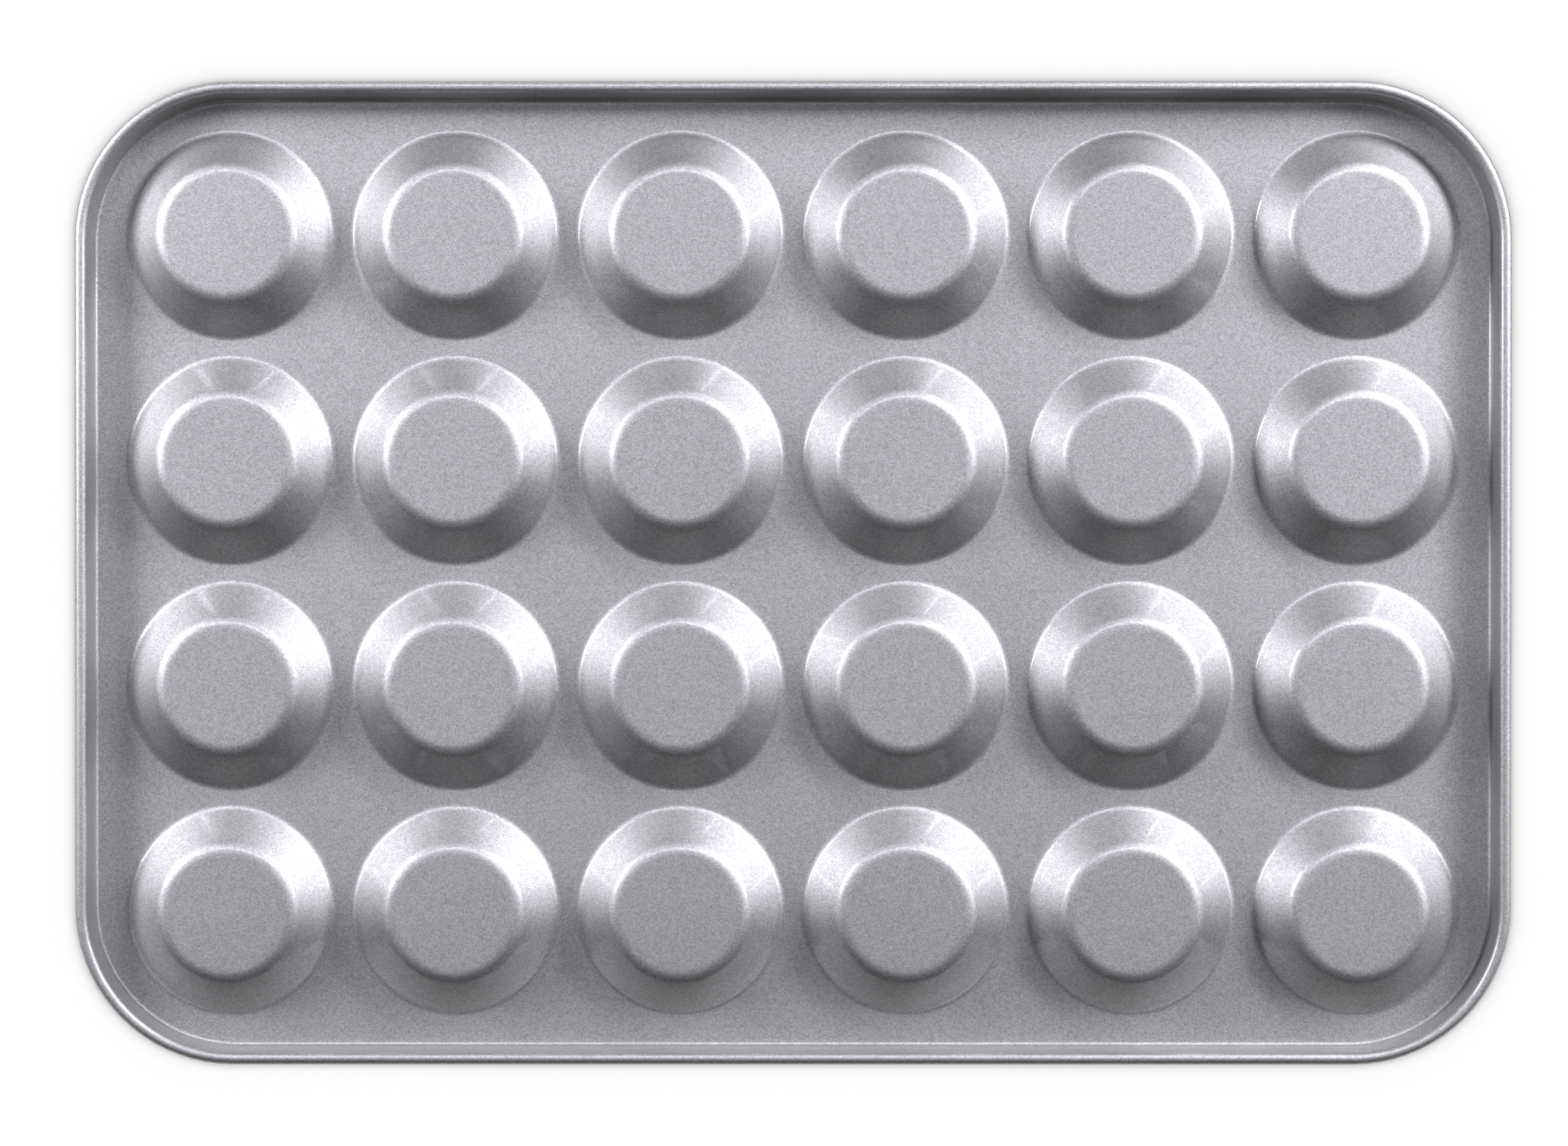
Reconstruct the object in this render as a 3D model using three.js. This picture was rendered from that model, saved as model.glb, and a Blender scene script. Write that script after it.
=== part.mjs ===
// Florentine pan: one pressed steel sheet with shallow conical cups, its edge turned down into a
// skirt and rolled outwards round a stiffening wire. The sheet is divided along its press lines
// into the deck, the cups and the skirt with its bead.
// Millimetres, +Z up, cups open upwards, long side along X. The bead stands on z = 0 and the
// origin is under the middle of the pan.

import * as THREE from "three";

// The sheet
const SHEET = 0.6;
const PRESS_LINE_GAP = 0.3; // between the regions of the sheet, where one press line ends

// The cups, measured at the sharp corners that the bends round off
const CUP_COLUMNS = 6;
const CUP_ROWS = 4;
const CUP_MOUTH_DIAMETER = 57.2;
const CUP_FLOOR_DIAMETER = 36.6;
const CUP_DEPTH = 10;
const CUP_WEB = 6; // deck left between two neighbouring mouths
const LIP_INSIDE_RADIUS = 2.5;
const FLOOR_INSIDE_RADIUS = 4.5;

// The deck
const DECK_MARGIN = 8.5; // from the outermost mouths to the skirt's bend
const CORNER_RADIUS = 44; // in plan, over the bead

// The skirt, its bead and the wire in it
const FLOOR_CLEARANCE = 0.4; // under the cups when the pan stands on its bead
const SKIRT_INSIDE_RADIUS = 1;
const SKIRT_DRAFT = THREE.MathUtils.degToRad(6.5);
const WIRE_DIAMETER = 1.7;
const WIRE_CLEARANCE = 0.2; // from the wire to the inside of the bead

// Facets
const CUP_SIDES = 24;
const CORNER_STEPS = 6; // in each quarter turn of the outline
const CUP_BEND_STEPS = 1;
const SKIRT_BEND_STEPS = 3;
const BEAD_STEPS_TO_BASE = 3; // from the skirt to the facet that the pan stands on
const BEAD_STEPS = 11;
const WIRE_SIDES = 8;

const HALF_SHEET = SHEET / 2;
const QUARTER_TURN = Math.PI / 2;
const panHeight = CUP_DEPTH + SHEET + FLOOR_CLEARANCE;
const deckMiddle = panHeight - HALF_SHEET; // height of the middle of the deck's thickness
const cupPitch = CUP_MOUTH_DIAMETER + CUP_WEB;

// Walks along the middle of a bent sheet in a plane. A flat goes straight on, and a bend turns
// left by a positive angle or right by a negative one, on an arc of the given radius. Each mark
// on the way holds the point and the normal to its left.
function walkSheet(start, heading, moves) {
  const leftOf = (angle) => new THREE.Vector2(-Math.sin(angle), Math.cos(angle));
  const marks = [{ point: start.clone(), normal: leftOf(heading) }];
  let angle = heading;
  for (const { flat = 0, radius, turn = 0, steps = 1 } of moves) {
    const { point, normal } = marks.at(-1);
    if (turn === 0) {
      const along = new THREE.Vector2(Math.cos(angle), Math.sin(angle));
      marks.push({ point: point.clone().addScaledVector(along, flat), normal });
      continue;
    }
    const reach = Math.sign(turn) * radius;
    const centre = point.clone().addScaledVector(normal, reach);
    for (let step = 1; step <= steps; step += 1) {
      const turned = leftOf(angle + (turn * step) / steps);
      marks.push({ point: centre.clone().addScaledVector(turned, -reach), normal: turned });
    }
    angle += turn;
  }
  return marks;
}

// The two faces of a walked sheet, half its thickness to either side
function facesOf(marks) {
  const face = (side) =>
    marks.map(({ point, normal }) => point.clone().addScaledVector(normal, side * HALF_SHEET));
  return { left: face(1), right: face(-1) };
}

// One cup's section, from the press line on the deck in to the axis
const cupSlope = Math.atan2(CUP_DEPTH, (CUP_MOUTH_DIAMETER - CUP_FLOOR_DIAMETER) / 2);
const lipRadius = LIP_INSIDE_RADIUS + HALF_SHEET;
const floorRadius = FLOOR_INSIDE_RADIUS + HALF_SHEET;
const lipSetback = lipRadius * Math.tan(cupSlope / 2);
const floorSetback = floorRadius * Math.tan(cupSlope / 2);
const cupPressLine = CUP_MOUTH_DIAMETER / 2 + lipSetback;

function cupSection() {
  const slopeLength = CUP_DEPTH / Math.sin(cupSlope) - lipSetback - floorSetback;
  const marks = walkSheet(new THREE.Vector2(cupPressLine, deckMiddle), Math.PI, [
    { turn: cupSlope, radius: lipRadius, steps: CUP_BEND_STEPS },
    { flat: slopeLength },
    { turn: -cupSlope, radius: floorRadius, steps: CUP_BEND_STEPS },
    { flat: CUP_FLOOR_DIAMETER / 2 - floorSetback },
  ]);
  marks.at(-1).point.x = 0; // the walk ends a rounding error away from the axis
  const { left: underside, right: inside } = facesOf(marks);
  return [...underside.reverse(), ...inside];
}

// The skirt's section. x is the distance outwards from its press line on the deck, and the walk
// bends down, runs down the drafted wall and curls outwards and up round the wire. The bead's
// facets are set so that one of them lies flat on z = 0.
const beadRadius = WIRE_DIAMETER / 2 + WIRE_CLEARANCE + SHEET;
const curlRadius = beadRadius - HALF_SHEET;
const skirtRadius = SKIRT_INSIDE_RADIUS + HALF_SHEET;
const skirtTurn = QUARTER_TURN - SKIRT_DRAFT;
const beadFacet = skirtTurn / (BEAD_STEPS_TO_BASE + 1 / 2);
const beadHeight = beadRadius * Math.cos(beadFacet / 2); // of the bead's centre
const wallTop = deckMiddle - skirtRadius * (1 - Math.sin(SKIRT_DRAFT));
const wallFoot = beadHeight - curlRadius * Math.sin(SKIRT_DRAFT);
const wallLength = (wallTop - wallFoot) / Math.cos(SKIRT_DRAFT);
const beadReach =
  (skirtRadius + curlRadius) * Math.cos(SKIRT_DRAFT) + wallLength * Math.sin(SKIRT_DRAFT);

function skirtSection() {
  const marks = walkSheet(new THREE.Vector2(0, deckMiddle), 0, [
    { turn: -skirtTurn, radius: skirtRadius, steps: SKIRT_BEND_STEPS },
    { flat: wallLength },
    { turn: beadFacet * BEAD_STEPS, radius: curlRadius, steps: BEAD_STEPS },
  ]);
  const { left: outside, right: inside } = facesOf(marks);
  return [...inside, ...outside.reverse()];
}

function wireSection() {
  const around = (side) => (side + 1 / 2) * ((2 * Math.PI) / WIRE_SIDES);
  return Array.from({ length: WIRE_SIDES }, (_, side) => {
    const spoke = new THREE.Vector2(Math.cos(around(side)), Math.sin(around(side)));
    return new THREE.Vector2(beadReach, beadHeight).addScaledVector(spoke, WIRE_DIAMETER / 2);
  });
}

// The outline of the pan in plan, at a distance outwards from the skirt's press line: a rectangle
// with its corners rounded about fixed centres
const pressLineRadius = CORNER_RADIUS - beadReach - beadRadius;
const halfPattern = (count) => ((count - 1) * cupPitch + CUP_MOUTH_DIAMETER) / 2;
const cornerX = halfPattern(CUP_COLUMNS) + DECK_MARGIN - pressLineRadius;
const cornerY = halfPattern(CUP_ROWS) + DECK_MARGIN - pressLineRadius;

function outlineAt(outwards) {
  const radius = pressLineRadius + outwards;
  const stations = [];
  for (let corner = 0; corner < 4; corner += 1) {
    const middle = (corner + 1 / 2) * QUARTER_TURN;
    const centreX = Math.sign(Math.cos(middle)) * cornerX;
    const centreY = Math.sign(Math.sin(middle)) * cornerY;
    for (let step = 0; step <= CORNER_STEPS; step += 1) {
      const angle = (corner + step / CORNER_STEPS) * QUARTER_TURN;
      const x = centreX + radius * Math.cos(angle);
      const y = centreY + radius * Math.sin(angle);
      stations.push(new THREE.Vector2(x, y));
    }
  }
  return stations;
}

// A closed section carried once round the outline, its x outwards and its y upwards
function carryRound(section) {
  const rings = section.map(({ x, y }) => outlineAt(x).map((p) => [p.x, p.y, y]));
  const stations = rings[0].length;
  const index = [];
  section.forEach((_, row) => {
    const next = (row + 1) % section.length;
    for (let station = 0; station < stations; station += 1) {
      const ahead = (station + 1) % stations;
      const a = row * stations + station;
      const b = row * stations + ahead;
      const c = next * stations + ahead;
      const d = next * stations + station;
      index.push(a, b, c, a, c, d);
    }
  });
  const geometry = new THREE.BufferGeometry();
  geometry.setAttribute("position", new THREE.Float32BufferAttribute(rings.flat(2), 3));
  geometry.setIndex(index);
  geometry.computeVertexNormals();
  return geometry;
}

function cupCentres() {
  const centres = [];
  for (let row = 0; row < CUP_ROWS; row += 1) {
    for (let column = 0; column < CUP_COLUMNS; column += 1) {
      const x = (column - (CUP_COLUMNS - 1) / 2) * cupPitch;
      const y = (row - (CUP_ROWS - 1) / 2) * cupPitch;
      centres.push({ name: `cup_row${row + 1}_col${column + 1}`, x, y });
    }
  }
  return centres;
}

function deckGeometry() {
  const radius = cupPressLine + PRESS_LINE_GAP;
  const plate = new THREE.Shape(outlineAt(-PRESS_LINE_GAP));
  for (const { x, y } of cupCentres()) {
    const rim = Array.from({ length: CUP_SIDES }, (_, side) => {
      const angle = (2 * Math.PI * side) / CUP_SIDES;
      return new THREE.Vector2(x + radius * Math.cos(angle), y + radius * Math.sin(angle));
    });
    plate.holes.push(new THREE.Path(rim));
  }
  const geometry = new THREE.ExtrudeGeometry(plate, { depth: SHEET, bevelEnabled: false });
  return geometry.translate(0, 0, panHeight - SHEET);
}

function cupGeometry() {
  return new THREE.LatheGeometry(cupSection(), CUP_SIDES).rotateX(QUARTER_TURN);
}

// Finishes: a silver-grey baked coating on the sheet, plain drawn steel on the wire
function coatedSteel() {
  return new THREE.MeshStandardMaterial({ color: 0xb2b3b8, roughness: 0.38, metalness: 0.8 });
}

function drawnSteel() {
  return new THREE.MeshStandardMaterial({ color: 0x9a9c9e, roughness: 0.45, metalness: 1 });
}

function named(name, geometry, material) {
  const mesh = new THREE.Mesh(geometry, material);
  mesh.name = name;
  return mesh;
}

const pan = new THREE.Group();
pan.add(named("deck", deckGeometry(), coatedSteel()));
for (const { name, x, y } of cupCentres()) {
  const cup = named(name, cupGeometry(), coatedSteel());
  cup.position.set(x, y, 0);
  pan.add(cup);
}
pan.add(named("rolled_skirt", carryRound(skirtSection()), coatedSteel()));
pan.add(named("rim_wire", carryRound(wireSection()), drawnSteel()));

export default pan;
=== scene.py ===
# %% [markdown]
# # A florentine pan, seen from below
#
# The pan is one steel sheet, pressed into twenty-four shallow cups, with its edge turned down and
# rolled round a wire. The photograph looks straight at its underside. The CAD model gives the
# frame: every size and place below comes from it or repeats one of its driving dimensions, in
# metres, with z up and the cups opening upwards. So the main camera here looks up from below.

# %% Load the frame
import math

import bpy
import numpy as np
from mathutils import Matrix, Vector


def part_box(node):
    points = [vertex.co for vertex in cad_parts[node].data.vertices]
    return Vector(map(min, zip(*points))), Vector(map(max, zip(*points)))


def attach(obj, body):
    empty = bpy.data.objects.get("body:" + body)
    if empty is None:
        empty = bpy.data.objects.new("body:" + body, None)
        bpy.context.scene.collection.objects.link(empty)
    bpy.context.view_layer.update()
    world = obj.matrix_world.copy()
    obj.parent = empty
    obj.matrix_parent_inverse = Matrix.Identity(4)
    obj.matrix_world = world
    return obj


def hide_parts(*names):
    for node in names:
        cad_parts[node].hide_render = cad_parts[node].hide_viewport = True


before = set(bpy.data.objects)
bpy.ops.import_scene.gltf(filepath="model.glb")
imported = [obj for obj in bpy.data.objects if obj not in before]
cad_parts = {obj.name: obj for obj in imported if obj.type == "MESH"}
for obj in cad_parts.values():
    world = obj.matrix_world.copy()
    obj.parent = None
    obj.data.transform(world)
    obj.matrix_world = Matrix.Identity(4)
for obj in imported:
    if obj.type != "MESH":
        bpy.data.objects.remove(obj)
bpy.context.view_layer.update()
scene = bpy.context.scene
scene.view_settings.view_transform = "Standard"

# %% [markdown]
# ## Sizes
#
# The frame knows where each cup is, how thick the deck is and how high the pan stands. The bends
# of the press tools can't be read from a box, so they are written here as named values. The last
# line compares the cup's press line, worked out from those values, with the one in the frame.

# %% Sizes from the frame and the press tools
CUP_MOUTH_RADIUS = 0.0286  # at the sharp corners that the bends round off
CUP_FLOOR_RADIUS = 0.0183
LIP_INSIDE_RADIUS = 0.0025
FLOOR_INSIDE_RADIUS = 0.0045
SKIRT_INSIDE_RADIUS = 0.001
SKIRT_DRAFT = math.radians(6.5)
CORNER_RADIUS = 0.044  # in plan, over the bead
WIRE_RADIUS = 0.00085
WIRE_CLEARANCE = 0.0002

deck_low, deck_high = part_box("deck")
sheet = deck_high.z - deck_low.z
deck_middle = (deck_high.z + deck_low.z) / 2
cup_names = sorted(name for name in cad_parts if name.startswith("cup_"))
cup_boxes = np.array([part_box(name) for name in cup_names])
cup_centres = cup_boxes[:, :, :2].mean(axis=1)
cup_depth = np.ptp(cup_boxes[0, :, 2]) - sheet
column_x = np.unique(np.round(cup_centres[:, 0], 5))
row_y = np.unique(np.round(cup_centres[:, 1], 5))
skirt_high = np.array(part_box("rolled_skirt")[1])

cup_slope = math.atan2(cup_depth, CUP_MOUTH_RADIUS - CUP_FLOOR_RADIUS)
lip_bend = LIP_INSIDE_RADIUS + sheet / 2
floor_bend = FLOOR_INSIDE_RADIUS + sheet / 2
lip_setback = lip_bend * math.tan(cup_slope / 2)
floor_setback = floor_bend * math.tan(cup_slope / 2)
cup_press_line = CUP_MOUTH_RADIUS + lip_setback
print(len(cup_names), "cups,", len(column_x), "by", len(row_y), "- sheet",
      round(sheet * 1000, 3), "mm")
print("press line of a cup", round(cup_press_line * 1000, 3), "mm, in the frame",
      round(float(np.ptp(cup_boxes[0, :, 0])) * 500, 3), "mm")

# %% [markdown]
# ## Walking along a bent sheet
#
# A pressed sheet keeps its thickness, so its section is best drawn as a walk along the middle of
# the sheet: flats go straight on and bends turn at a steady rate. Half the thickness to the left
# and right of the walk then gives the two faces. A bend needs several short steps to look round.
# A flat needs only a narrow strip at either end, which keeps the shading of the bend off the flat.

# %% The walk
EVEN_BEND = np.arange(1, 8) / 7
TIGHT_BEND = np.arange(1, 6) / 5
CURL = np.arange(1, 23) / 22
HELD_FLAT = np.array([0.03, 0.5, 0.97, 1.0])
TO_THE_AXIS = np.array([0.04, 0.5, 1.0])


def left_of(heading):
    """The unit vector a quarter turn to the left of a heading: (-sin, cos)."""
    return np.stack([-np.sin(heading), np.cos(heading)], axis=-1)


def walk_sheet(start, heading, moves):
    """Points and left normals along a walk of (length, turn, shares of the way at which to stop).

    A flat goes from p to p + share * length * (cos a, sin a). A bend has the signed radius
    r = length / turn and the centre c = p + r * n, and goes round it to
    c - r * n(a + share * turn), where n(a) is the unit vector to the left of the heading a.
    """
    points = [np.array([start], float)]
    normals = [left_of(np.array([heading]))]
    for length, turn, shares in moves:
        here, normal = points[-1][-1], normals[-1][-1]
        if turn == 0:
            along = np.array([math.cos(heading), math.sin(heading)])
            points.append(here + length * shares[:, None] * along)
            normals.append(np.tile(normal, (len(shares), 1)))
        else:
            turned = left_of(heading + turn * shares)
            points.append(here + length / turn * (normal - turned))
            normals.append(turned)
            heading += turn
    return np.concatenate(points), np.concatenate(normals)


# %% [markdown]
# ## One cup's section
#
# The walk starts on the press line, where the flat deck ends, and goes in to the cup's axis: over
# the lip, down the slope, round the bottom bend and along the floor. Left of it is the underside,
# right of it the face that the batter lies on.

# %% The cup's section
slope_length = cup_depth / math.sin(cup_slope) - lip_setback - floor_setback
cup_points, cup_normals = walk_sheet((cup_press_line, deck_middle), math.pi, [
    (lip_bend * cup_slope, cup_slope, TIGHT_BEND),
    (slope_length, 0, HELD_FLAT),
    (floor_bend * cup_slope, -cup_slope, EVEN_BEND),
    (CUP_FLOOR_RADIUS - floor_setback, 0, TO_THE_AXIS),
])
cup_points[-1, 0] = 0.0
cup_underside = cup_points + cup_normals * sheet / 2
cup_inside = cup_points - cup_normals * sheet / 2
print("cup slope", round(math.degrees(cup_slope), 2), "degrees, section of",
      len(cup_points), "points")

# %% [markdown]
# ## The skirt's section
#
# From its own press line on the deck the sheet bends down, runs down a wall that flares a little
# so that the press tool lets go, and curls outwards and up round the wire. Here x is the distance
# outwards from the press line. The curl stops short of a full turn, which leaves the narrow slot
# that a rolled edge shows above the bead.

# %% The skirt's section
BEAD_TURN = math.radians(273)

bead_radius = WIRE_RADIUS + WIRE_CLEARANCE + sheet
curl_radius = bead_radius - sheet / 2
skirt_bend = SKIRT_INSIDE_RADIUS + sheet / 2
skirt_turn = math.pi / 2 - SKIRT_DRAFT
wall_top = deck_middle - skirt_bend * (1 - math.sin(SKIRT_DRAFT))
wall_foot = bead_radius - curl_radius * math.sin(SKIRT_DRAFT)
wall_length = (wall_top - wall_foot) / math.cos(SKIRT_DRAFT)
skirt_points, skirt_normals = walk_sheet((0.0, deck_middle), 0.0, [
    (skirt_bend * skirt_turn, -skirt_turn, EVEN_BEND),
    (wall_length, 0, HELD_FLAT),
    (curl_radius * BEAD_TURN, BEAD_TURN, CURL),
])
skirt_section = np.concatenate([
    skirt_points - skirt_normals * sheet / 2,
    (skirt_points + skirt_normals * sheet / 2)[::-1],
])
bead_reach = ((skirt_bend + curl_radius) * math.cos(SKIRT_DRAFT)
              + wall_length * math.sin(SKIRT_DRAFT))
press_corner = CORNER_RADIUS - bead_reach - bead_radius
half_deck = skirt_high[:2] - bead_reach - bead_radius
corner_centre = half_deck - press_corner
print("bead", round(bead_radius * 2000, 2), "mm across, deck between press lines",
      np.round(half_deck * 2000, 2).tolist(), "mm")

# %% [markdown]
# ## The outline
#
# The pan is a rectangle with rounded corners. A point near a corner of the plain rectangle is
# slid onto the corner's arc by its share of the way round that corner. That keeps the points of
# the deck and the skirt in step, so the two can share one line of vertices.

# %% The outline and the grids' numbering
SPOKES = 64  # round one cup, a quarter of them on each side of its cell


def round_corners(xy):
    """Slides points of the deck's rectangle onto its rounded outline.

    u and v are how far a point lies past the corner's centre, each from 0 to R. The way round the
    corner is s = u + R - v, from 0 to 2R, and the arc's point there is R (sin f, cos f) with
    f = s / (2R) of a quarter turn. Points beside the corner stay.
    """
    u, v = np.moveaxis(np.abs(xy) - corner_centre, -1, 0)
    f = (u + press_corner - v) / (2 * press_corner) * math.pi / 2
    arc = corner_centre + press_corner * np.stack([np.sin(f), np.cos(f)], axis=-1)
    near = (u > 1e-9) & (v > 1e-9)
    return np.where(near[..., None], np.sign(xy) * arc, xy)


def grid_quads(rows, columns):
    """Quads of a grid whose point (i, j) has the number i * columns + j, closed in j."""
    i, j = np.meshgrid(np.arange(rows - 1), np.arange(columns), indexing="ij")
    here, ahead = i * columns + j, i * columns + (j + 1) % columns
    return np.stack([here, ahead, ahead + columns, here + columns], axis=-1).reshape(-1, 4)


def cell_limits(centres, half):
    """Borders between neighbouring cells: midway between cups, and the deck's edge at the ends."""
    return np.concatenate([[-half], (centres[1:] + centres[:-1]) / 2, [half]])


limits_x = cell_limits(column_x, half_deck[0])
limits_y = cell_limits(row_y, half_deck[1])
side = SPOKES // 4
along_x = np.interp(np.arange(len(column_x) * side) / side, np.arange(len(limits_x)), limits_x)
along_y = np.interp(np.arange(len(row_y) * side) / side, np.arange(len(limits_y)), limits_y)
rectangle = np.concatenate([
    np.stack([along_x, np.full_like(along_x, -half_deck[1])], axis=-1),
    np.stack([np.full_like(along_y, half_deck[0]), along_y], axis=-1),
    np.stack([-along_x, np.full_like(along_x, half_deck[1])], axis=-1),
    np.stack([np.full_like(along_y, -half_deck[0]), -along_y], axis=-1),
])
outline = round_corners(rectangle)
outwards = outline - np.clip(outline, -corner_centre, corner_centre)
outwards /= np.linalg.norm(outwards, axis=-1, keepdims=True)
print(len(outline), "stations round the outline")


def carry_round(section):
    """A section carried round the outline: outline + x * outwards in plan, with height y."""
    plan = outline + section[:, None, :1] * outwards
    height = np.broadcast_to(section[:, None, 1:], plan.shape[:2] + (1,))
    return np.concatenate([plan, height], axis=-1)


# %% [markdown]
# ## One cell of the sheet
#
# Each cup stands in its own rectangular cell of the deck. A cell is one polar grid: from its
# border the rings go in over the flat deck to the press line, and on down the cup to its axis.
# Neighbouring cells divide their common border evenly, so their points fall on each other.

# %% The cells, on both faces of the sheet
DECK_SHARES = np.array([0.0, 0.05, 0.5, 0.93])[:, None, None]


def cell_border(spoke, low, high):
    """The border of a cell, divided evenly on each side.

    With t the angle in eighths of a turn, q(t) = clip(2 - |t|, -1, 1) runs along a side and rests
    at the corners; x follows q(t) and y follows q(t - 2), both stretched to the cell.
    """
    def ramp(t):
        return np.clip(2 - np.abs((t + 4) % 8 - 4), -1, 1)

    eighths = spoke * 8 / SPOKES
    square = np.stack([ramp(eighths), ramp(eighths - 2)], axis=-1)
    return round_corners(low + (square + 1) / 2 * (high - low))


def cell_face(centre, low, high, section, height):
    """One face of a cell: rings on the deck from its border in to the press line, then the cup's.

    On the deck a point is border + share * (press line - border). In the cup it is
    centre + r * (cos, sin), with r and the height from the section.
    """
    spoke = np.arange(SPOKES)
    angle = spoke * 2 * math.pi / SPOKES
    ray = np.stack([np.cos(angle), np.sin(angle)], axis=-1)
    border = cell_border(spoke, low, high)
    deck = border + DECK_SHARES * (centre + cup_press_line * ray - border)
    cup = centre + section[:, None, :1] * ray
    plan = np.concatenate([deck, cup])
    z = np.concatenate([np.full(len(deck), height), section[:, 1]])
    return np.concatenate([plan, np.broadcast_to(z[:, None, None], plan.shape[:2] + (1,))], axis=-1)


column = np.searchsorted(limits_x, cup_centres[:, 0]) - 1
row = np.searchsorted(limits_y, cup_centres[:, 1]) - 1
lows = np.stack([limits_x[column], limits_y[row]], axis=-1)
highs = np.stack([limits_x[column + 1], limits_y[row + 1]], axis=-1)
cells = list(zip(cup_centres, lows, highs))
undersides = np.array([cell_face(*cell, cup_underside, deck_low.z) for cell in cells])
insides = np.array([cell_face(*cell, cup_inside, deck_high.z) for cell in cells])
print("cell grids of", undersides.shape[1], "rings and", SPOKES, "spokes")

# %% [markdown]
# ## The pressed sheet
#
# The underside cells, the inside cells and the carried skirt are put into one list of points.
# Points that fall on each other are welded, which closes every seam and gathers each cup's last
# ring into one point. The volume comes from the signed tetrahedra of all faces: it is positive
# only if the faces point outwards, and it tells the weight of the steel.

# %% Weld and make the pressed sheet
WELD_STEPS_TO_A_METRE = 1e7
SHARP_FROM = math.radians(50)


def weld(points, quads):
    """One point for all that share a place to a ten-thousandth of a millimetre."""
    keys = np.round(points * WELD_STEPS_TO_A_METRE).astype(np.int64)
    kept, number = np.unique(keys, axis=0, return_index=True, return_inverse=True)[1:]
    return points[kept], number.reshape(-1)[quads]


def volume_inside(points, triangles):
    """The sum of a . (b x c) / 6 over the triangles."""
    a, b, c = np.moveaxis(points[triangles], 1, 0)
    return float(np.einsum("ij,ij->", a, np.cross(b, c)) / 6)


def make_piece(name, points, quads, *replaced):
    """A smooth mesh of welded quads. A quad whose last two corners were welded is a triangle."""
    points, quads = weld(points, quads)
    folded = quads[:, 2] == quads[:, 3]
    triangles, quads = quads[folded, :3], quads[~folded]
    mesh = bpy.data.meshes.new(name)
    mesh.from_pydata(points.tolist(), [], quads.tolist() + triangles.tolist())
    mesh.polygons.foreach_set("use_smooth", np.ones(len(mesh.polygons), bool))
    mesh.set_sharp_from_angle(angle=SHARP_FROM)
    mesh.validate()
    piece = bpy.data.objects.new(name, mesh)
    scene.collection.objects.link(piece)
    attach(piece, "root")
    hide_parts(*replaced)
    halves = np.concatenate([triangles, quads[:, :3], quads[:, [0, 2, 3]]])
    print(name, "-", len(halves), "triangles,",
          round(volume_inside(points, halves) * 1e6, 2), "cm3")
    return piece


cell_quads = grid_quads(undersides.shape[1], SPOKES)
cell_points = undersides[0].size // 3
firsts = np.arange(len(cup_names))[:, None, None] * cell_points
inside_quads = (firsts + cell_quads).reshape(-1, 4)
underside_quads = inside_quads[:, [1, 0, 3, 2]]
skirt_grid = carry_round(skirt_section)
skirt_quads = grid_quads(len(skirt_section), len(outline))

pressed_sheet = make_piece(
    "pressed_sheet",
    np.concatenate([undersides.reshape(-1, 3), insides.reshape(-1, 3), skirt_grid.reshape(-1, 3)]),
    np.concatenate([
        underside_quads,
        inside_quads + undersides.size // 3,
        skirt_quads + 2 * undersides.size // 3,
    ]),
    "deck", "rolled_skirt", *cup_names,
)

# %% [markdown]
# ## The rim wire
#
# The bead is rolled round a loop of drawn wire, of which only a thread shows in the slot above the
# bead. Its section is a circle, carried round the same outline.

# %% The rim wire
WIRE_SIDES = 15

turn = np.arange(WIRE_SIDES + 1) * 2 * math.pi / WIRE_SIDES
circle = np.stack([np.cos(turn), np.sin(turn)], axis=-1)
wire_section = np.array([bead_reach, bead_radius]) + WIRE_RADIUS * circle
rim_wire = make_piece("rim_wire_loop", carry_round(wire_section).reshape(-1, 3),
                      grid_quads(len(wire_section), len(outline)), "rim_wire")

# %% [markdown]
# ## Writing shader maths as Python
#
# A node tree is easier to read as an expression. The class below wraps one output socket, and
# arithmetic on it adds a Math node. Every other node comes from its one method, which sets the
# node's own settings first and then writes a number or colour on a socket or links another node.

# %% A small class for sockets


class Signal:
    """An output socket. a + b, a * b and number - a add Math nodes, numbers on either side."""

    def __init__(self, socket):
        self.socket = socket

    @staticmethod
    def node(tree, kind, settings=None, inputs=None):
        """Adds a node, sets its settings, then its sockets, and gives its outputs by name."""
        made = tree.nodes.new(kind)
        for name, value in (settings or {}).items():
            setattr(made, name, value)
        for name, value in (inputs or {}).items():
            socket = made.inputs[name] if isinstance(name, int) else next(
                s for s in made.inputs if s.enabled and s.name == name)
            if isinstance(value, Signal):
                tree.links.new(value.socket, socket)
            else:
                socket.default_value = value
        return {output.name: Signal(output) for output in made.outputs if output.enabled}

    def math(self, operation, first, second):
        tree = self.socket.node.id_data
        made = Signal.node(tree, "ShaderNodeMath", {"operation": operation}, {0: first, 1: second})
        return made["Value"]

    def __add__(self, other):
        return self.math("ADD", self, other)

    def __rsub__(self, other):
        return self.math("SUBTRACT", other, self)

    def __mul__(self, other):
        return self.math("MULTIPLY", self, other)

    __radd__ = __add__
    __rmul__ = __mul__


def new_tree(owner):
    """An empty node tree on a material or world."""
    owner.use_nodes = True
    owner.node_tree.nodes.clear()
    return owner.node_tree


def noise(tree, place, scale, detail):
    """Blender's fractal noise, about 0.5 on average, with about `scale` humps to a metre."""
    return Signal.node(tree, "ShaderNodeTexNoise", {"noise_dimensions": "3D"}, {
        "Vector": place, "Scale": scale, "Detail": detail, "Roughness": 0.55})["Fac"]


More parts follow.
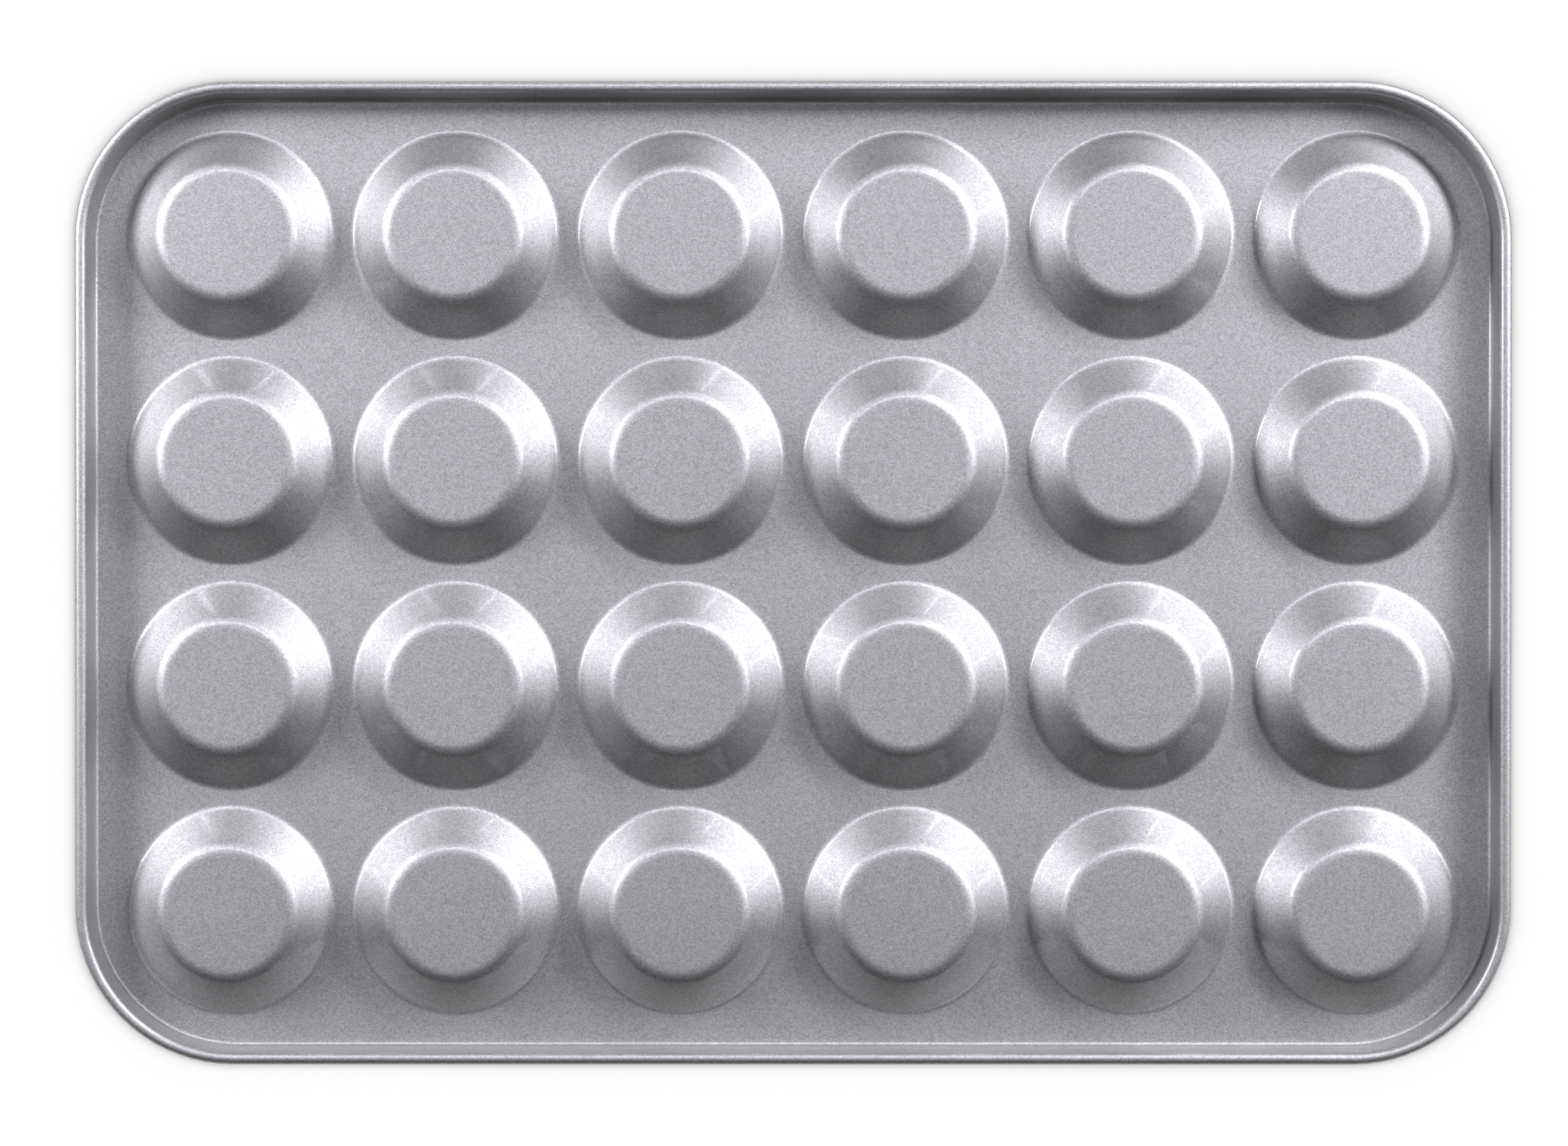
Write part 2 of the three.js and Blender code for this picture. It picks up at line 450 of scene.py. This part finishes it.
# %% [markdown]
# ## The baked coating
#
# The finish is a silver-grey release coating: tiny metal flakes in a clear resin. The flakes lie a
# little unevenly, so a highlight breaks up into fine grain at its edge, while the resin over them
# is smooth and shows the lamps sharply. That is a rough metal whose normal is shaken by fine noise,
# under a smooth clear coat. Its grey is written a trace warm, because the lamps of the photograph
# are a trace blue: what they light directly looks cool, and light that has gone from slope to slope
# turns neutral.

# %% The coating
FLAKES_TO_A_METRE = 2900
CLOUDS_TO_A_METRE = 14
DARK_FLAKE = (0.236, 0.238, 0.226, 1)
LIGHT_FLAKE = (0.424, 0.427, 0.407, 1)
FLAKE_HEIGHT = 0.00002

coating = bpy.data.materials.new("baked_silver_coating")
tree = new_tree(coating)
place = Signal.node(tree, "ShaderNodeTexCoord")["Object"]
flakes = Signal.node(tree, "ShaderNodeTexVoronoi", None, {
    "Vector": place, "Scale": FLAKES_TO_A_METRE})["Color"]
flake_shade = Signal.node(tree, "ShaderNodeSeparateXYZ", None, {"Vector": flakes})["X"]
clumps = noise(tree, place, FLAKES_TO_A_METRE / 4, 2.0)
clouds = noise(tree, place, CLOUDS_TO_A_METRE, 2.0)
tone = flake_shade * 0.75 + clumps * 0.15 + clouds * 0.1
colour = Signal.node(tree, "ShaderNodeMix", {"data_type": "RGBA"}, {
    "Factor": tone, "A": DARK_FLAKE, "B": LIGHT_FLAKE})["Result"]
tilt = Signal.node(tree, "ShaderNodeBump", None, {
    "Strength": 0.42, "Distance": FLAKE_HEIGHT,
    "Height": flake_shade * 0.7 + clumps * 0.6})["Normal"]
shader = Signal.node(tree, "ShaderNodeBsdfPrincipled", None, {
    "Base Color": colour,
    "Metallic": 0.92,
    "Roughness": 0.515 + 0.06 * clumps + 0.04 * clouds,
    "Normal": tilt,
    "Coat Weight": 0.5 + 0.5 * flake_shade,
    "Coat Roughness": 0.09,
    "Coat IOR": 1.5,
})["BSDF"]
Signal.node(tree, "ShaderNodeOutputMaterial", None, {"Surface": shader})
pressed_sheet.data.materials.append(coating)
print(coating.name, "has", len(tree.nodes), "nodes")

# %% [markdown]
# ## The drawn wire
#
# Drawn steel is a duller, darker grey than the coating, with fine noise in its tone and roughness.

# %% The wire's finish
LINES_TO_A_METRE = 1500
DARK_STEEL = (0.34, 0.345, 0.35, 1)
LIGHT_STEEL = (0.62, 0.625, 0.63, 1)

drawn = bpy.data.materials.new("drawn_steel")
tree = new_tree(drawn)
place = Signal.node(tree, "ShaderNodeTexCoord")["Object"]
lines = noise(tree, place, LINES_TO_A_METRE, 3.0)
colour = Signal.node(tree, "ShaderNodeMix", {"data_type": "RGBA"}, {
    "Factor": lines, "A": DARK_STEEL, "B": LIGHT_STEEL})["Result"]
shader = Signal.node(tree, "ShaderNodeBsdfPrincipled", None, {
    "Base Color": colour, "Metallic": 1.0, "Roughness": 0.3 + 0.25 * lines})["BSDF"]
Signal.node(tree, "ShaderNodeOutputMaterial", None, {"Surface": shader})
rim_wire.data.materials.append(drawn)
print(drawn.name, "has", len(tree.nodes), "nodes")

# %% [markdown]
# ## Table and floor
#
# The pan was photographed lying face down on white paper. Seen from below, a ring of paper round
# the bead stands for it. Its glow is painted: close to the bead it is cut to the share of the view
# upwards that the bead leaves open, (1 + cos a) / 2 with a the angle up to the crest of the bead,
# which paints the narrow shadow round the outline. From above, the pan stands on its bead on a pale
# floor, which keeps its shadow, and the floor's glow is painted brighter further out. Each sheet is
# there only for the rays that should meet it, so the table shows from below and the floor from
# above, and a stop keeps the lamps of the photograph from shining up past the pan.

# %% Paper above and below
STEPS_OUT = np.array([0, 0.3, 0.6, 1, 1.5, 2, 2.7, 3.6, 5, 7, 10, 15, 30, 6000]) / 1000
TUCKED_IN = 0.0002  # of the table under the bead's edge
FLOOR_RINGS = np.array([0.001, 0.5, 1.0, 1.7, 2.6, 30.0])
FLOOR_LIFT = np.array([1.0, 1.0, 1.5, 2.2, 2.6, 2.7])  # makes up for the lamps' falling off
FLOOR_SIDES = 48
FLOOR_HEIGHT = -0.0002
STOP_HEIGHT = -0.0004
STOP_CLEARANCE = 0.0012  # so that the lamps still reach the underside of the bead
STOP_REACH = 6.0


def paper(name, points, quads, shown_to, white, glow, painted_glow_share):
    """A sheet of paper that is there for some kinds of rays only, and clear for all others.

    Shown = the sum of those kinds * (1 - backfacing). What is shown is a matt white plus a light
    of glow * a painted share at each point, which paints shade or brightness into the paper. A
    black sheet only stops light, and does so from both sides.
    """
    mesh = bpy.data.meshes.new(name)
    mesh.from_pydata(points.tolist(), [], quads.tolist())
    mesh.attributes.new("painted_glow_share", "FLOAT", "POINT").data.foreach_set("value", painted_glow_share)
    leaf = bpy.data.objects.new(name, mesh)
    scene.collection.objects.link(leaf)
    material = bpy.data.materials.new(name + "_paper")
    tree = new_tree(material)
    rays = Signal.node(tree, "ShaderNodeLightPath")
    shown = sum(rays[kind] for kind in shown_to)
    if white > 0:
        shown = shown * (1 - Signal.node(tree, "ShaderNodeNewGeometry")["Backfacing"])
    matt = Signal.node(tree, "ShaderNodeBsdfDiffuse", None, {
        "Color": (white, white, white, 1)})["BSDF"]
    # the painted share of glow: a painted shadow on the table, a painted lift on the floor
    painted_glow = Signal.node(tree, "ShaderNodeAttribute", {"attribute_name": "painted_glow_share"})["Fac"]
    light = Signal.node(tree, "ShaderNodeEmission", None, {
        "Color": painted_glow, "Strength": glow})["Emission"]
    both = Signal.node(tree, "ShaderNodeAddShader", None, {0: matt, 1: light})["Shader"]
    clear = Signal.node(tree, "ShaderNodeBsdfTransparent")["BSDF"]
    mixed = Signal.node(tree, "ShaderNodeMixShader", None, {0: shown, 1: clear, 2: both})["Shader"]
    Signal.node(tree, "ShaderNodeOutputMaterial", None, {"Surface": mixed})
    mesh.materials.append(material)
    print(name, "-", len(mesh.polygons), "faces for", " and ".join(shown_to))


# painted shadow: the table's glow falls to a half at the bead's edge and is whole further out
painted_shadow_by_bead = (1 + np.cos(np.arctan2(bead_radius, STEPS_OUT))) / 2
edge = bead_reach + bead_radius
level = np.full_like(STEPS_OUT, bead_radius)
ring = carry_round(np.stack([edge - TUCKED_IN + STEPS_OUT, level], axis=-1))
paper("table", ring.reshape(-1, 3), grid_quads(len(STEPS_OUT), len(outline)),
      ["Is Camera Ray", "Is Glossy Ray"], 0.03, 1.0, np.repeat(painted_shadow_by_bead, len(outline)))

spin = -np.arange(FLOOR_SIDES) * 2 * math.pi / FLOOR_SIDES
rings = FLOOR_RINGS[:, None]
disc = np.stack(np.broadcast_arrays(
    rings * np.cos(spin), rings * np.sin(spin), FLOOR_HEIGHT), axis=-1)
paper("floor", disc.reshape(-1, 3), grid_quads(len(FLOOR_RINGS), FLOOR_SIDES),
      ["Is Camera Ray"], 0.46, 0.2, np.repeat(FLOOR_LIFT, FLOOR_SIDES))

stop = carry_round(np.array([[edge + STOP_CLEARANCE, STOP_HEIGHT], [STOP_REACH, STOP_HEIGHT]]))
paper("light_stop", stop.reshape(-1, 3), grid_quads(2, len(outline)),
      ["Is Shadow Ray"], 0.0, 0.0, np.ones(2 * len(outline)))

# %% [markdown]
# ## Lamps and room
#
# The photograph's highlights tell where its lamps stood: a softbox low on the left, and a longer
# one on the right, towards the top of the picture. Both show on the cups' slopes. The flats mirror
# a dim ceiling behind the camera, brighter towards the top of the picture, and the slopes that
# face the bottom of it mirror a dark room. Two softer lamps above light the side that the batter
# lies on. In the picture's own axes, right is -x, up is +y and towards the camera is -z.

# %% Lamps and room


def in_picture(right, up, out):
    """A place in the picture's axes, in metres from the middle of the standing plane."""
    return Vector((-right, up, -out))


def softbox(name, place, target, width, height, radiance, colour=(1, 1, 1)):
    """A lamp of even brightness that faces its target: power = radiance * pi * area."""
    lamp = bpy.data.lights.new(name, "AREA")
    lamp.shape = "RECTANGLE"
    lamp.size, lamp.size_y = width, height
    lamp.energy = radiance * math.pi * width * height
    lamp.color = colour
    box = bpy.data.objects.new(name, lamp)
    outward = (place - target).normalized()
    sideways = Vector((0, 0, 1)).cross(outward)
    sideways = (sideways if sideways.length > 0.01 else Vector((1, 0, 0))).normalized()
    axes_of_box = Matrix((sideways, outward.cross(sideways), outward)).transposed()
    box.matrix_world = Matrix.Translation(place) @ axes_of_box.to_4x4()
    box.visible_camera = False
    scene.collection.objects.link(box)


LAMP_WHITE = (0.995, 0.99, 1.12)
UPPER_WHITE = (1, 1, 1.06)
DARK_ROOM = 0.008
middle = Vector((0, 0, 0))
softbox("softbox_left", in_picture(-0.72, 0.3, 0.34), middle, 0.42, 0.2, 35.9, LAMP_WHITE)
softbox("softbox_right", in_picture(0.91, 0.64, 0.58), middle, 1.18, 0.21, 44.3, LAMP_WHITE)
softbox("ceiling_strip", in_picture(0.0, 0.0, 1.8), middle, 2.0, 0.6, 0.9, LAMP_WHITE)
softbox("ceiling_top", in_picture(0.0, 1.0, 1.5), middle, 1.6, 0.5, 5.2, LAMP_WHITE)
softbox("key_above", Vector((-0.9, -0.8, 1.1)), middle, 0.9, 0.9, 6.2, UPPER_WHITE)
softbox("fill_above", Vector((1.1, 0.6, 0.9)), middle, 0.8, 0.8, 4.2, UPPER_WHITE)

room = bpy.data.worlds.new("studio")
scene.world = room
tree = new_tree(room)
direction = Signal.node(tree, "ShaderNodeTexCoord")["Generated"]
axes = Signal.node(tree, "ShaderNodeSeparateXYZ", None, {"Vector": direction})


def soft_step(tree, value, low, high):
    """0 below low, 1 above high, and a smooth step between."""
    return Signal.node(tree, "ShaderNodeMapRange", {"interpolation_type": "SMOOTHSTEP"},
                       {"Value": value, "From Min": low, "From Max": high})["Result"]


below = soft_step(tree, axes["Z"] * -1, -0.02, 0.02)
upper_side = 0.62 + 0.36 * axes["Z"]
level = below * DARK_ROOM + (1 - below) * upper_side
rays = Signal.node(tree, "ShaderNodeLightPath")
shine = rays["Is Camera Ray"] + (1 - rays["Is Camera Ray"]) * level
background = Signal.node(tree, "ShaderNodeBackground", None, {
    "Color": (1, 1, 1, 1), "Strength": shine})["Background"]
Signal.node(tree, "ShaderNodeOutputWorld", None, {"Surface": background})
print(len(bpy.data.lights), "lamps and a room")

# %% [markdown]
# ## The camera
#
# The camera looks up at the underside from 1.1 m away, almost along the pan's axis. The distance
# comes from how far the cup floors shift against their mouths towards the edges of the picture,
# and the lens from the pan's length in it. The picture is 2261 by 1652 pixels.

# %% The camera
PICTURE = (2261, 1652)
FOCAL_PIXELS = 5680
SENSOR = 36.0

camera = bpy.data.objects.new("camera", bpy.data.cameras.new("camera"))
camera.data.sensor_width = SENSOR
camera.data.lens = FOCAL_PIXELS / PICTURE[0] * SENSOR
camera.data.clip_start, camera.data.clip_end = 0.01, 50.0
stand = in_picture(0.0, 0.008, 1.097)
aim = in_picture(-0.0025, 0.0, -0.009)
back = (stand - aim).normalized()
across = Vector((0, 1, 0)).cross(back).normalized()
upright = back.cross(across)
turned = Matrix((across, upright, back)).transposed()
camera.matrix_world = Matrix.Translation(stand) @ turned.to_4x4()
scene.collection.objects.link(camera)
scene.camera = camera
print("lens", round(camera.data.lens, 1), "mm, from", [round(c, 3) for c in stand])
